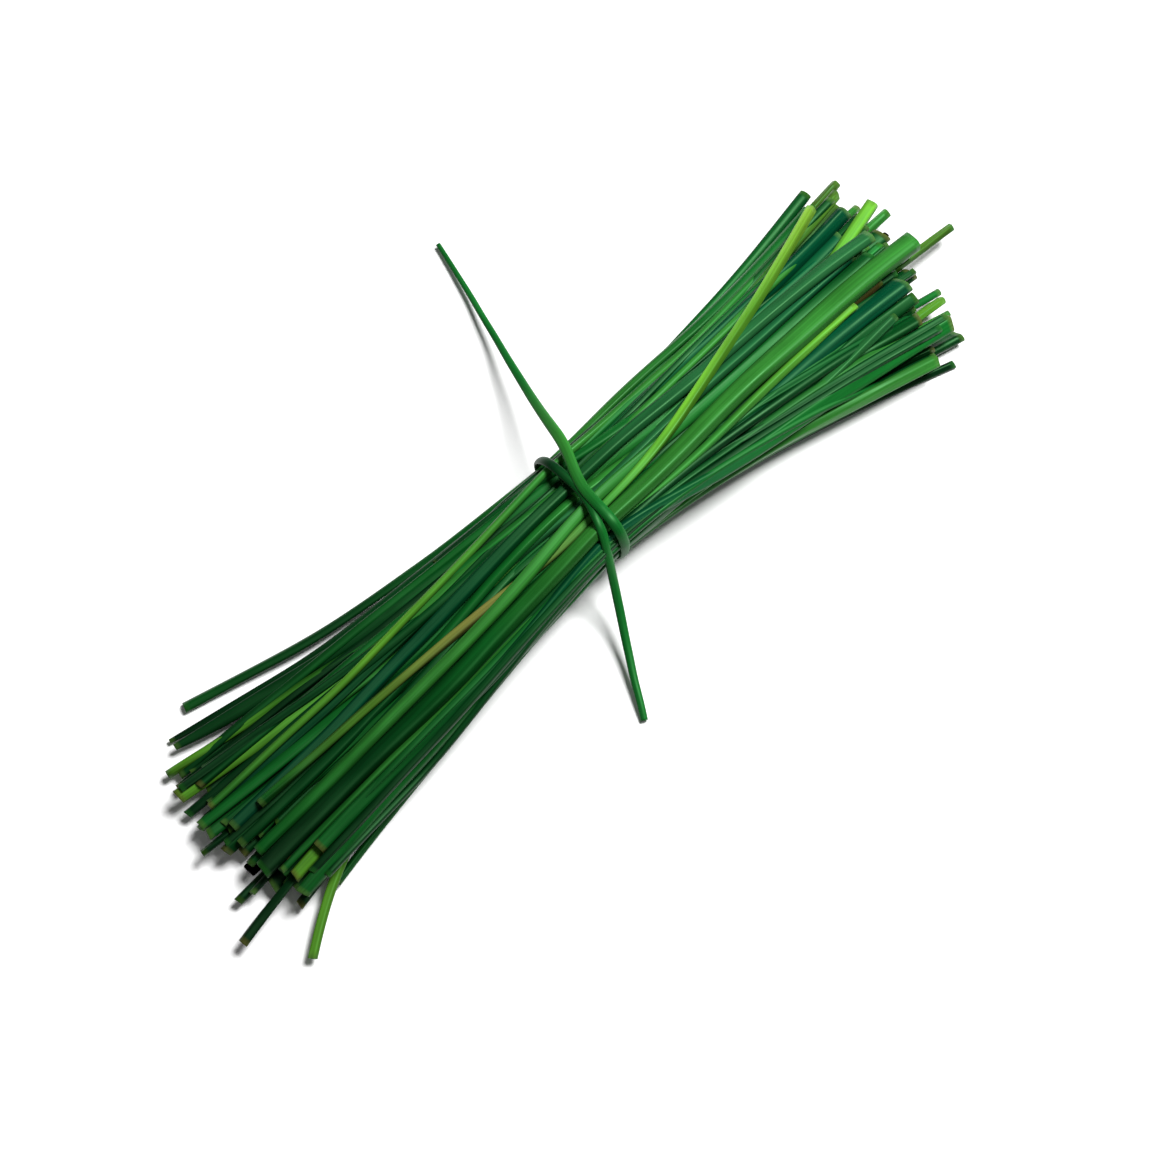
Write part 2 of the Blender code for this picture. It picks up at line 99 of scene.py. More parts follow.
# The ends: a knife's slant, a torn end that narrows, and the hollow inside
STEEPEST_CUT = 0.3
CUT_FADE = 2.5 * MM
BLUNT_LENGTH = 9 * MM
BLUNT_SHARE = 0.5
LEAF_WALL = 0.34 * MM
HOLLOW_SHARES = (0.25, 0.85)
PINCHED_SHARE = 0.8
HOLLOW_DEPTH = 5.5 * MM
HOLLOW_STEPS = np.array([0, 0.3, 1])
HOLLOW_NARROWING = np.array([1, 0.9, 0.6])
INSIDE_ROWS = len(HOLLOW_STEPS)

# Lengthwise bands of lighter and darker green, painted shade on the flanks where leaves meet, and
# the darker left half
BANDS = 5
BAND_WANDER = 0.4
BAND_WANDER_PHASES = (0, 6)
BAND_WANDER_LENGTH = 70 * MM
BAND_WIDTHS = (0.15, 0.5)
BAND_STRENGTH = 0.35
PAINTED_FLANK_SHADE = 0.62
LEAF_SHADES = (0.85, 1.15)
DARKENING = (0.5, 0.68, 0.95, 1.08, 1.15)
DARKENING_AT = np.linspace(-100, 100, len(DARKENING)) * MM
RIM_SHARE = 0.5
RIM_GREENS = ("rim", "rim", "olive", "tan", "leaf")
PATTERN_STEP = 0.37

# Greens that the photograph shows, as red, green and blue from 0 to 255
GREENS = {
    "deep": (1, 34, 12),
    "dark": (3, 56, 20),
    "mid": (12, 86, 29),
    "leaf": (44, 114, 40),
    "lime": (88, 150, 38),
    "yellow": (118, 166, 46),
    "teal": (1, 66, 40),
    "grey": (32, 92, 49),
    "olive": (64, 102, 28),
    "brown": (70, 58, 26),
    "tan": (114, 112, 54),
    "rim": (92, 136, 58),
    # Painted shade: nearly black, for the shade inside a hollow cut end
    "hollow": (1, 10, 3),
}

# Each leaf that shows: its greens at even distances from its left end to its right, and its ends
SHOWN_LOOKS = {
    25: ("deep deep deep", "cut", "cut"),
    26: ("dark mid dark olive", "cut", "cut"),
    27: ("lime mid mid mid olive", "cut", "cut"),
    28: ("deep dark dark mid", "cut", "cut"),
    29: ("deep dark mid dark", "cut", "cut"),
    30: ("deep dark dark", "cut", "cut"),
    31: ("deep dark mid mid", "cut", "cut"),
    32: ("mid mid dark dark", "hollow", "cut"),
    33: ("deep dark dark", "cut", "cut"),
    34: ("dark mid dark mid", "cut", "cut"),
    35: ("deep dark dark dark", "cut", "cut"),
    36: ("dark dark mid leaf", "cut", "hollow"),
    37: ("mid mid leaf olive", "cut", "cut"),
    38: ("mid mid mid dark", "cut", "cut"),
    39: ("dark mid mid leaf lime", "cut", "cut"),
    40: ("lime mid mid mid dark", "hollow", "cut"),
    41: ("lime leaf mid dark", "hollow", "cut"),
    42: ("dark mid leaf mid dark", "cut", "cut"),
    43: ("deep dark mid teal", "blunt", "cut"),
    44: ("dark mid dark dark", "cut", "cut"),
    45: ("mid mid dark teal teal", "cut", "hollow"),
    46: ("dark dark mid teal teal", "blunt", "cut"),
    47: ("mid mid leaf grey", "cut", "cut"),
    48: ("mid mid mid leaf leaf", "cut", "cut"),
    49: ("mid dark teal mid mid", "cut", "hollow"),
    50: ("lime lime leaf leaf mid mid", "cut", "cut"),
    51: ("dark dark mid leaf leaf lime", "cut", "cut"),
    52: ("mid leaf leaf mid dark", "cut", "cut"),
    53: ("mid mid grey grey teal", "cut", "cut"),
    54: ("mid leaf leaf leaf lime", "cut", "cut"),
    55: ("teal teal dark grey grey", "cut", "cut"),
    56: ("deep dark mid leaf leaf leaf leaf", "cut", "hollow"),
    57: ("leaf lime leaf leaf mid", "cut", "cut"),
    58: ("mid dark mid leaf mid mid", "cut", "cut"),
    59: ("mid olive tan leaf lime lime yellow", "cut", "cut"),
}
INNER_GREENS = (
    "deep dark dark",
    "dark mid dark olive",
    "teal dark dark",
    "dark dark mid brown",
    "deep deep dark",
)


def linear(colour):
    """A colour from 0 to 255 as the light that it gives back, from 0 to 1.

    Its share of 255 is divided by 12.92 where it is under 0.04045, and is otherwise
    ((share + 0.055) / 1.055) to the power 2.4.
    """
    share = np.array(colour) / 255
    return np.where(share < 0.04045, share / 12.92, ((share + 0.055) / 1.055) ** 2.4)


def unit(vectors):
    """Each vector divided by its length."""
    return vectors / np.linalg.norm(vectors, axis=-1, keepdims=True)


def distance_along(line):
    """The distance along a line to each of its points: the sum of the steps before it."""
    return np.concatenate([[0], np.cumsum(np.linalg.norm(np.diff(line, axis=0), axis=1))])


def tube_rings(node, towards):
    """The rings of corners of a tube-shaped node, in order from its end in this direction.

    The first ring is the corners of the end's flat faces, and each further ring is the corners
    joined to the last one that no ring has yet.
    """
    mesh = frame["nodes"][node].data
    corners = np.empty(3 * len(mesh.vertices))
    mesh.vertices.foreach_get("co", corners)
    places, same = np.unique(np.round(corners.reshape(-1, 3), 7), axis=0, return_inverse=True)
    faces = np.empty(3 * len(mesh.polygons), int)
    mesh.polygons.foreach_get("vertices", faces)
    faces = same.ravel()[faces.reshape(-1, 3)]
    a, b, c = (places[faces[:, i]] for i in range(3))
    out = unit(np.cross(b - a, c - a))
    reach = places @ towards
    near_tip = reach[faces].min(axis=1) > reach.max() - END_ZONE
    at_end = (out @ towards > END_FACING) & near_tip
    joined = np.zeros((len(places), len(places)), bool)
    for i, j in ((0, 1), (1, 2), (2, 0)):
        joined[faces[:, i], faces[:, j]] = True
        joined[faces[:, j], faces[:, i]] = True
    ring = np.zeros(len(places), bool)
    ring[faces[at_end]] = True
    seen = ring.copy()
    rings = []
    while ring.any():
        rings.append(places[ring])
        ring = joined[ring].any(axis=0) & ~seen
        seen |= ring
    return rings


def leaf_course(node):
    """A leaf's middle, its direction across, and its half width and half thickness at each ring.

    The middle is the mean of the ring's corners, the half width is the way to the furthest
    corner, and the half thickness is the furthest reach square to that way and to the leaf.
    """
    rings = tube_rings(node, np.array([-1.0, 0, 0]))
    middles = np.array([ring.mean(axis=0) for ring in rings])
    along = unit(np.gradient(middles, axis=0))
    across, half_width, half_thickness = [], [], []
    for ring, middle, ahead in zip(rings, middles, along):
        spokes = ring - middle
        longest = spokes[np.argmax(np.linalg.norm(spokes, axis=1))]
        if across and longest @ across[-1] < 0:
            longest = -longest
        half_width.append(np.linalg.norm(longest))
        across.append(longest / half_width[-1])
        half_thickness.append(np.abs(spokes @ np.cross(ahead, across[-1])).max())
    return middles, np.array(across), np.array(half_width), np.array(half_thickness)


def smooth_through(xs, values, at):
    """A cubic curve through values at xs, whose slope at each is that between its neighbours.

    With u from 0 to 1 between two of xs, it is (2u^3 - 3u^2 + 1) times the first value, plus
    (3u^2 - 2u^3) times the second, plus (u^3 - 2u^2 + u) and (u^3 - u^2) times their slopes
    times the span.
    """
    values = np.asarray(values, float)
    slopes = np.gradient(values, xs, axis=0)
    piece = np.clip(np.searchsorted(xs, at) - 1, 0, len(xs) - 2)
    span = xs[piece + 1] - xs[piece]
    u = (at - xs[piece]) / span
    if values.ndim > 1:
        u, span = u[:, None], span[:, None]
    return (
        (2 * u**3 - 3 * u**2 + 1) * values[piece]
        + (u**3 - 2 * u**2 + u) * span * slopes[piece]
        + (3 * u**2 - 2 * u**3) * values[piece + 1]
        + (u**3 - u**2) * span * slopes[piece + 1]
    )


def calmed(xs, values, at, bell_reach):
    """Values at xs, taken through a bell curve of this reach at each place of the result.

    The result is the mean of the smooth curve through the values, each of its points weighted by
    e to the minus half of (its distance / the reach) squared. The curve is continued straight
    past both ends, so that the bell finds it there too.
    """
    margin = 4 * bell_reach.max()
    grid = np.arange(xs[0] - margin, xs[-1] + margin, bell_reach.min() / 4)
    inside = np.clip(grid, xs[0], xs[-1])
    past = (grid - inside)[:, None]
    first_slope = (values[1] - values[0]) / (xs[1] - xs[0])
    last_slope = (values[-1] - values[-2]) / (xs[-1] - xs[-2])
    line = smooth_through(xs, values, inside) + past * np.where(past < 0, first_slope, last_slope)
    bell = np.exp(-0.5 * ((at[:, None] - grid) / bell_reach[:, None]) ** 2)
    return bell / bell.sum(axis=1, keepdims=True) @ line


def leaf_skin(slot):
    """Satin leaf skin: the leaf's own green, with fine lengthwise streaks and ribs.

    The colour is the green times a streak's shade times a patch's shade, both from noise.
    """
    material = bpy.data.materials.new(f"{slot}_skin")
    material.use_nodes = True
    nodes, links = material.node_tree.nodes, material.node_tree.links
    shader = nodes["Principled BSDF"]
    shader.inputs["Specular IOR Level"].default_value = 0.25
    shader.inputs["Specular Tint"].default_value = (0.35, 1.0, 0.4, 1)

    place = nodes.new("ShaderNodeAttribute")
    place.attribute_name = "straight"
    green = nodes.new("ShaderNodeAttribute")
    green.attribute_name = "green"

    def pattern(along, across, detail):
        """Noise on the straightened leaf, so many to the metre along it and across it."""
        stretch = nodes.new("ShaderNodeMapping")
        stretch.inputs["Scale"].default_value = (along, across, across)
        noise = nodes.new("ShaderNodeTexNoise")
        noise.inputs["Scale"].default_value = 1.0
        noise.inputs["Detail"].default_value = detail
        links.new(place.outputs["Vector"], stretch.inputs["Vector"])
        links.new(stretch.outputs["Vector"], noise.inputs["Vector"])
        return noise.outputs["Fac"]

    def ranged(value, low, high):
        """Noise from 0.3 to 0.7, where most of it lies, spread evenly from low to high."""
        spread = nodes.new("ShaderNodeMapRange")
        spread.inputs["From Min"].default_value = 0.3
        spread.inputs["From Max"].default_value = 0.7
        spread.inputs["To Min"].default_value = low
        spread.inputs["To Max"].default_value = high
        links.new(value, spread.inputs["Value"])
        return spread.outputs["Result"]

    streaks = pattern(along=25, across=2600, detail=2)
    patches = pattern(along=90, across=500, detail=3)
    shade = nodes.new("ShaderNodeMath")
    shade.operation = "MULTIPLY"
    links.new(ranged(streaks, low=0.80, high=1.18), shade.inputs[0])
    links.new(ranged(patches, low=0.86, high=1.14), shade.inputs[1])
    shaded = nodes.new("ShaderNodeVectorMath")
    shaded.operation = "SCALE"
    links.new(green.outputs["Color"], shaded.inputs[0])
    links.new(shade.outputs["Value"], shaded.inputs["Scale"])
    links.new(shaded.outputs["Vector"], shader.inputs["Base Color"])
    links.new(ranged(patches, low=0.34, high=0.5), shader.inputs["Roughness"])
    ribs = nodes.new("ShaderNodeBump")
    ribs.inputs["Strength"].default_value = 0.35
    ribs.inputs["Distance"].default_value = 0.04 * MM
    links.new(streaks, ribs.inputs["Height"])
    links.new(ribs.outputs["Normal"], shader.inputs["Normal"])
    return material


def tube_piece(name, skin, points, straight, colour):
    """A closed tube whose corners are a grid of rows along it and sides round it.

    The face at (row, side) joins it to (row + 1, side), (row + 1, side + 1) and (row, side + 1),
    where the side after the last is the first, and one flat face closes each end.
    """
    lowest, highest = np.array(cad_box[0]) + BOX_MARGIN, np.array(cad_box[1]) - BOX_MARGIN
    points = np.clip(points, lowest, highest)
    rows, sides = points.shape[:2]
    row, column = np.meshgrid(np.arange(rows - 1), np.arange(sides), indexing="ij")
    first = row * sides + column
    second = row * sides + (column + 1) % sides
    faces = np.stack([first, first + sides, second + sides, second], axis=-1)
    faces = faces.reshape(-1, 4).tolist()
    faces.append(list(range(sides)))
    faces.append(list(range((rows - 1) * sides, rows * sides))[::-1])
    mesh = bpy.data.meshes.new(name)
    mesh.from_pydata(points.reshape(-1, 3).tolist(), [], faces)
    place = mesh.attributes.new("straight", "FLOAT_VECTOR", "POINT")
    place.data.foreach_set("vector", straight.ravel())
    rgba = np.concatenate([np.clip(colour, 0, 1), np.ones((rows, sides, 1))], axis=-1)
    green = mesh.attributes.new("green", "FLOAT_COLOR", "POINT")
    green.data.foreach_set("color", rgba.ravel())
    mesh.materials.append(skin)
    mesh.shade_smooth()
    mesh.update()
    piece = bpy.data.objects.new(name, mesh)
    bpy.context.scene.collection.objects.link(piece)
    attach(piece, "root")
    return piece


def greens_along(words, row_at, length):
    """Named greens at even distances along a leaf, mixed in a straight line between them."""
    stops = np.array([linear(GREENS[word]) for word in words.split()])
    spread = np.linspace(0, length, len(stops))
    colour = np.stack([np.interp(row_at, spread, stops[:, i]) for i in range(3)], axis=-1)
    return np.repeat(colour[:, None], LEAF_SIDES, axis=1)


def leaf_line(course, draw):
    """A leaf's course, calmed and given slow waves of its own, with its three directions.

    The middle is moved sideways and up by reach times sin(6.28 x / wavelength + phase), less
    towards both ends, and the width is times 1 + 0.035 sin(6.28 x / wavelength + phase).
    """
    middles, acrosses, half_widths, half_thicknesses = course
    xs = middles[:, 0]
    at = xs[0] + (xs[-1] - xs[0]) * np.linspace(0, 1, LEAF_ROWS)
    calming = np.interp(np.abs(at), [0, CALMED_FROM], [CALMING_AT_TIE, CALMING])
    middle = calmed(xs, middles, at, calming)
    across = unit(calmed(xs, acrosses, at, calming))
    half_width = np.interp(at, xs, half_widths) + LEAF_SWELL
    half_thickness = np.interp(at, xs, half_thicknesses) + LEAF_SWELL
    loose = np.clip(np.minimum(at - xs[0], xs[-1] - at) / STILL_END, 0, 1)
    for reach, wavelength in WAVES:
        turn = draw.uniform(0, TURN)
        phase = draw.uniform(0, TURN)
        sway = WAVE_REACH * reach * np.sin(at / (wavelength * MM) * TURN + phase) * loose
        middle[:, 1] += sway * math.cos(turn)
        middle[:, 2] += sway * math.sin(turn) * UPRIGHT_SHARE
    wavelength = draw.uniform(*WIDTH_WAVELENGTHS) * MM
    phase = draw.uniform(0, TURN)
    half_width = half_width * (1 + WIDTH_WAVE * np.sin(at / wavelength * TURN + phase))
    ahead = unit(np.gradient(middle, axis=0))
    up = unit(np.cross(ahead, across))
    return middle, ahead, np.cross(up, ahead), up, half_width, half_thickness


def leaf_section(angles, draw):
    """A leaf's section, as shares of its half width and half thickness at these angles.

    Across it is cos(angle) and above it is sin(angle), both to the power 0.85. Above, it is less
    by a share times e to the minus ((angle - 90 degrees) / 35 degrees) squared, a shallow
    channel. Both are times 1 + a little of cos(3 to 5 angles), for low ridges.
    """
    cos, sin = np.cos(angles), np.sin(angles)
    section_across = np.sign(cos) * np.abs(cos) ** SQUARENESS
    section_up = np.sign(sin) * np.abs(sin) ** SQUARENESS
    side = 1 if draw.random() < CHANNEL_ABOVE else -1
    off = (angles - side * math.pi / 2 + math.pi) % (2 * math.pi) - math.pi
    channel = draw.uniform(*CHANNEL_DEPTHS) * np.exp(-((off / CHANNEL_REACH) ** 2))
    section_up = section_up * (1 - channel)
    ridges = draw.choice(RIDGE_COUNTS)
    ridge_place = draw.uniform(0, TURN)
    ridge = 1 + draw.uniform(*RIDGE_HEIGHTS) * np.cos(ridges * angles + ridge_place)
    return section_across * ridge, section_up * ridge


def leaf_piece(name, slot, course, looks, seed):
    """A leaf as its section carried along its course, open and hollow at a cut end.

    A corner is the course's middle, plus the section across times the half width, plus the
    section above times the half thickness. A slanting cut moves it along the leaf by the slant
    times (its place across + the half width) times e to the minus (distance / 2.5 mm).
    """
    greens, left_end, right_end = looks
    draw = random.Random(seed)
    middle, ahead, across, up, half_width, half_thickness = leaf_line(course, draw)
    distance = distance_along(middle)
    length = distance[-1]
    share = np.ones(LEAF_ROWS)
    if left_end == "blunt":
        share *= 1 - (1 - BLUNT_SHARE) * np.exp(-distance / BLUNT_LENGTH)

    angles = np.linspace(0, 2 * math.pi, LEAF_SIDES, endpoint=False)
    section_across, section_up = leaf_section(angles, draw)
    left_slant = draw.uniform(-STEEPEST_CUT, STEEPEST_CUT)
    right_slant = draw.uniform(-STEEPEST_CUT, STEEPEST_CUT)

    # The outer rows, with the rows of the hollow before the first and after the last
    hollow = np.clip(1 - LEAF_WALL / np.minimum(half_thickness, half_width), *HOLLOW_SHARES)
    left_share = hollow[0] * share[0] * (1 if left_end == "hollow" else PINCHED_SHARE)
    right_share = hollow[-1] * (1 if right_end == "hollow" else PINCHED_SHARE)
    depths = HOLLOW_STEPS * HOLLOW_DEPTH
    row_at = np.concatenate([depths[::-1], distance, length - depths])
    row_share = np.concatenate(
        [left_share * HOLLOW_NARROWING[::-1], share, right_share * HOLLOW_NARROWING]
    )

    def on_course(values):
        """Values of the outer rows at every row, in a straight line between two."""
        columns = [np.interp(row_at, distance, column) for column in np.atleast_2d(values.T)]
        return np.stack(columns, axis=-1)

    centre, cross, rise, forth = (on_course(v) for v in (middle, across, up, ahead))
    wide = (np.interp(row_at, distance, half_width) * row_share)[:, None] * section_across
    high = (np.interp(row_at, distance, half_thickness) * row_share)[:, None] * section_up
    half = np.interp(row_at, distance, half_width)[:, None]
    fade_left = np.exp(-row_at / CUT_FADE)[:, None] * left_slant
    fade_right = np.exp(-(length - row_at) / CUT_FADE)[:, None] * right_slant
    shift_left = fade_left * (wide + np.sign(left_slant) * half)
    shift_right = fade_right * (half * np.sign(right_slant) + wide)
    points = (
        centre[:, None]
        + cross[:, None] * wide[..., None]
        + rise[:, None] * high[..., None]
        + forth[:, None] * (shift_left - shift_right)[..., None]
    )

    # The leaf's greens along it, times its bands, the painted shade on its flanks and the place
    # along the bunch
    colour = greens_along(greens, row_at, length)
    for _ in range(BANDS):
        start = draw.uniform(0, TURN)
        wander = draw.uniform(-BAND_WANDER, BAND_WANDER)
        phase = draw.uniform(*BAND_WANDER_PHASES)
        where = start + wander * np.sin(row_at / BAND_WANDER_LENGTH + phase)
        off = (angles[None] - where[:, None] + math.pi) % (2 * math.pi) - math.pi
        band = np.exp(-((off / draw.uniform(*BAND_WIDTHS)) ** 2))
        colour *= (1 + band * draw.uniform(-BAND_STRENGTH, BAND_STRENGTH))[..., None]
    # Painted shade: each leaf is darker on its flanks, where it meets its neighbours, than on its
    # top and underside
    painted_shade_on_flanks = PAINTED_FLANK_SHADE + (1 - PAINTED_FLANK_SHADE) * np.sin(angles) ** 2
    colour *= painted_shade_on_flanks[None, :, None] * draw.uniform(*LEAF_SHADES)
    colour *= np.interp(centre[:, 0], DARKENING_AT, DARKENING)[:, None, None]
    rim_green = linear(GREENS[draw.choice(RIM_GREENS)])
    # Painted shade: the rows inside each end are nearly black, and the lip just inside the rim has
    # half the rim's green
    colour[:INSIDE_ROWS] = linear(GREENS["hollow"])
    colour[-INSIDE_ROWS:] = linear(GREENS["hollow"])
    for rim, lip in ((INSIDE_ROWS, INSIDE_ROWS - 1), (-INSIDE_ROWS - 1, -INSIDE_ROWS)):
        colour[rim] = (1 - RIM_SHARE) * colour[rim] + RIM_SHARE * rim_green
        colour[lip] = rim_green * RIM_SHARE

    pattern_at = np.broadcast_to(row_at[:, None] + seed * PATTERN_STEP, wide.shape)
    straight = np.stack([pattern_at, wide, high], axis=-1)
    return tube_piece(name, leaf_skins[slot], points, straight, colour)


LEAF_SLOTS = ("dark_leaf", "green_leaf", "teal_leaf", "lime_leaf")
leaf_skins = {slot: leaf_skin(slot) for slot in LEAF_SLOTS}
slots_in_record = {row["node"]: row["material_slot"] for row in frame["record"]["subparts"]}
courses = []
for number in range(1, LEAF_COUNT + 1):
    node = f"leaf_{number:02d}"
    inner_looks = (INNER_GREENS[number % len(INNER_GREENS)], "cut", "cut")
    looks = SHOWN_LOOKS.get(number, inner_looks)
    courses.append(leaf_course(node))
    piece = leaf_piece(f"chive_{number:02d}", slots_in_record[node], courses[-1], looks, number)
    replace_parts(piece, node)

# The thin leaves
# Narrow young chive leaves that fill the furrows between the larger ones, all over the bunch's
# back. They were bunched and cut with the rest, and are held only by the tie. Their deep and dark
# greens are partly their own green and partly painted shade, for the shade in those furrows.
TIE_MIDDLE = np.array([2.34, -14.15, 12.0]) * MM
THIN_STATIONS = np.array([-98, -50, 0, 50, 88]) * MM
THIN_ROWS = 60
THIN_DIP = 0.75 * MM
THIN_TIE_DIP = 1.2 * MM
THIN_TIE_REACH = 9 * MM
THIN_FLATTENING = 0.9
THIN_SEEDS_FROM = 100
LAID_ON_LAST = 10

# Green words, slot, left end, right end, width, and the side position at each of THIN_STATIONS,
# in millimetres from the middle of the tie
THIN_LEAVES = (
    ("deep dark mid mid", "dark_leaf", -30, 84, 1.3, (14.0, 11.0, 10.0, 16.5, 24.5)),
    ("dark mid mid dark", "green_leaf", -95, 86, 1.5, (10.5, 9.8, 8.6, 15.0, 21.0)),
    ("deep deep dark mid", "dark_leaf", -97, 88, 1.2, (8.6, 7.0, 6.6, 13.0, 18.6)),
    ("dark mid leaf leaf", "green_leaf", -94, 90, 1.4, (5.0, 5.2, 4.8, 11.0, 16.4)),
    ("deep dark dark teal", "dark_leaf", -99, 85, 1.6, (3.0, 2.2, 3.2, 8.6, 12.4)),
    ("mid leaf mid olive", "lime_leaf", -96, 92, 1.2, (1.0, 0.0, 1.4, 6.4, 9.0)),
    ("deep dark mid mid", "dark_leaf", -98, 86, 1.5, (-2.0, -1.6, -0.4, 3.2, 5.6)),
    ("dark dark mid dark", "green_leaf", -95, 89, 1.3, (-4.2, -3.6, -1.8, 1.6, 3.6)),
    ("deep dark deep deep", "dark_leaf", -97, 84, 1.4, (-7.4, -6.0, -3.6, -0.6, -1.6)),
    ("mid mid dark dark", "green_leaf", -93, 87, 1.2, (-9.6, -7.8, -5.2, -2.2, -3.6)),
    ("deep dark deep deep", "dark_leaf", -96, 85, 1.5, (-12.4, -10.4, -6.8, -4.6, -6.6)),
    ("dark mid dark mid", "green_leaf", -92, 90, 1.3, (-15.6, -12.6, -8.6, -6.8, -8.8)),
    ("deep dark deep dark", "dark_leaf", -90, 83, 1.6, (-18.6, -14.6, -9.8, -8.8, -11.6)),
    ("dark mid dark leaf", "lime_leaf", -93, 88, 1.2, (-21.4, -16.6, -10.6, -10.8, -14.0)),
    ("deep dark deep dark", "dark_leaf", -88, 82, 1.4, (-24.6, -18.6, -11.4, -12.8, -17.6)),
    ("dark dark mid mid", "green_leaf", -86, 80, 1.2, (-27.4, -20.0, -11.8, -14.6, -21.0)),
    ("teal dark deep dark", "teal_leaf", -98, 87, 1.4, (-0.4, 1.0, 5.8, 9.8, 10.8)),
    ("mid leaf lime leaf", "lime_leaf", -91, 84, 1.1, (-10.8, -5.0, 0.4, 5.0, 7.4)),
    ("dark mid mid mid", "green_leaf", -94, 86, 1.4, (-17.0, -11.4, -5.8, -0.2, 1.6)),
    ("deep dark dark dark", "dark_leaf", -97, 82, 1.5, (6.8, 3.6, -2.6, -8.0, -10.4)),
    ("dark leaf mid dark", "green_leaf", -95, 88, 1.2, (-6.0, -2.8, 2.4, 7.6, 14.4)),
    ("deep dark deep dark", "teal_leaf", -96, 85, 1.4, (-13.8, -9.2, -7.8, -11.8, -16.0)),
)


def top_of_pile(x, side, radius):
    """How high a round leaf of this radius lies on the others at each of these places.

    It is above each other leaf's two round edges by the root of (the sum of the two radii)
    squared less (the distance sideways) squared, and never under its own radius.
    """
    height = np.full(len(x), radius)
    for middles, across, half_width, half_thickness in courses[:-LAID_ON_LAST]:
        xs = middles[:, 0]
        reach = np.interp(x, xs, half_width - half_thickness)
        edge_radius = np.interp(x, xs, half_thickness)
        for sign in (-1, 1):
            y = np.interp(x, xs, middles[:, 1]) + sign * reach * np.interp(x, xs, across[:, 1])
            z = np.interp(x, xs, middles[:, 2]) + sign * reach * np.interp(x, xs, across[:, 2])
            room = (edge_radius + radius) ** 2 - (side - y) ** 2
            over = (xs[0] < x) & (x < xs[-1]) & (room > 0)
            resting = z + np.sqrt(np.maximum(room, 0))
            height = np.where(over, np.maximum(height, resting), height)
    return height


def thin_course(left, right, width, sides):
    """A thin leaf's course: its side positions joined smoothly, at the height of the pile below.

    It dips into the pile by 0.75 mm, plus 1.2 mm times e to the minus (x / 9 mm) squared.
    """
    xs = np.linspace(left, right, THIN_ROWS) * MM
    side = smooth_through(THIN_STATIONS, np.array(sides) * MM, xs)
    radius = width / 2 * MM
    place_x, place_y = xs + TIE_MIDDLE[0], side + TIE_MIDDLE[1]
    heights = top_of_pile(place_x, place_y, radius)
    dip = THIN_DIP + THIN_TIE_DIP * np.exp(-((xs / THIN_TIE_REACH) ** 2))
    middles = np.column_stack([place_x, place_y, np.maximum(heights - dip, radius)])
    across = np.tile([0, 1.0, 0], (len(xs), 1))
    wide = np.full(len(xs), radius)
    return middles, across, wide, THIN_FLATTENING * wide


for number, (greens, slot, left, right, width, sides) in enumerate(THIN_LEAVES, start=1):
    course = thin_course(left, right, width, sides)
    looks = (greens, "cut", "cut")
    leaf_piece(f"thin_chive_{number:02d}", slot, course, looks, THIN_SEEDS_FROM + number)

# The tie
# One more chive leaf, taken round the bunch and over itself, and pressed flat where it is drawn
# tight. Its long thin end and its short cut end lie free on the table.
TIE_ROWS = 420
TIE_HALF_WIDTH = 0.95 * MM
TIE_HALF_THICKNESS = 0.46 * MM
TIE_CALMING = 1.8 * MM
TIE_GREENS = "mid mid mid leaf mid dark dark deep mid mid mid"
# Painted light and shade: one edge of the tie is lighter and the other darker by this share
PAINTED_TIE_EDGE_LIGHT = 0.35

# Shares of the half width and half thickness, from the start of the long end in millimetres. The
# last places count back from the end of the short one.
TIE_WIDTHS = (0.55, 0.82, 1.25, 1.05, 0.8)
TIE_THICKNESSES = (0.9, 1.2, 1.1, 1.3)
TIE_THIN_TO = 30 * MM
TIE_WIDE_FROM = 60 * MM

# How far the tie is drawn in towards the leaves, everywhere round the bunch and on its two passes
# over the top. Beyond the bunch, from 13 to 21 mm off its middle, the tie turns flat side up.
TIE_SINKS = 0.45 * MM
FIRST_PASS = (50 * MM, 64 * MM, 82 * MM, 92 * MM)
FIRST_PASS_SINKS = 1.3 * MM
SECOND_PASS = (130 * MM, 138 * MM, 168 * MM, 176 * MM)
SECOND_PASS_SINKS = 0.4 * MM
BUNCH_REACH = 13 * MM
FREE_WITHIN = 8 * MM

# The rings of each closed end: which end, share of the section, and distance ahead
TIE_END_RINGS = ((0, 0.4, 2 * MM), (0, 0.6, 0), (-1, 0.6, 0), (-1, 0.4, -3 * MM))


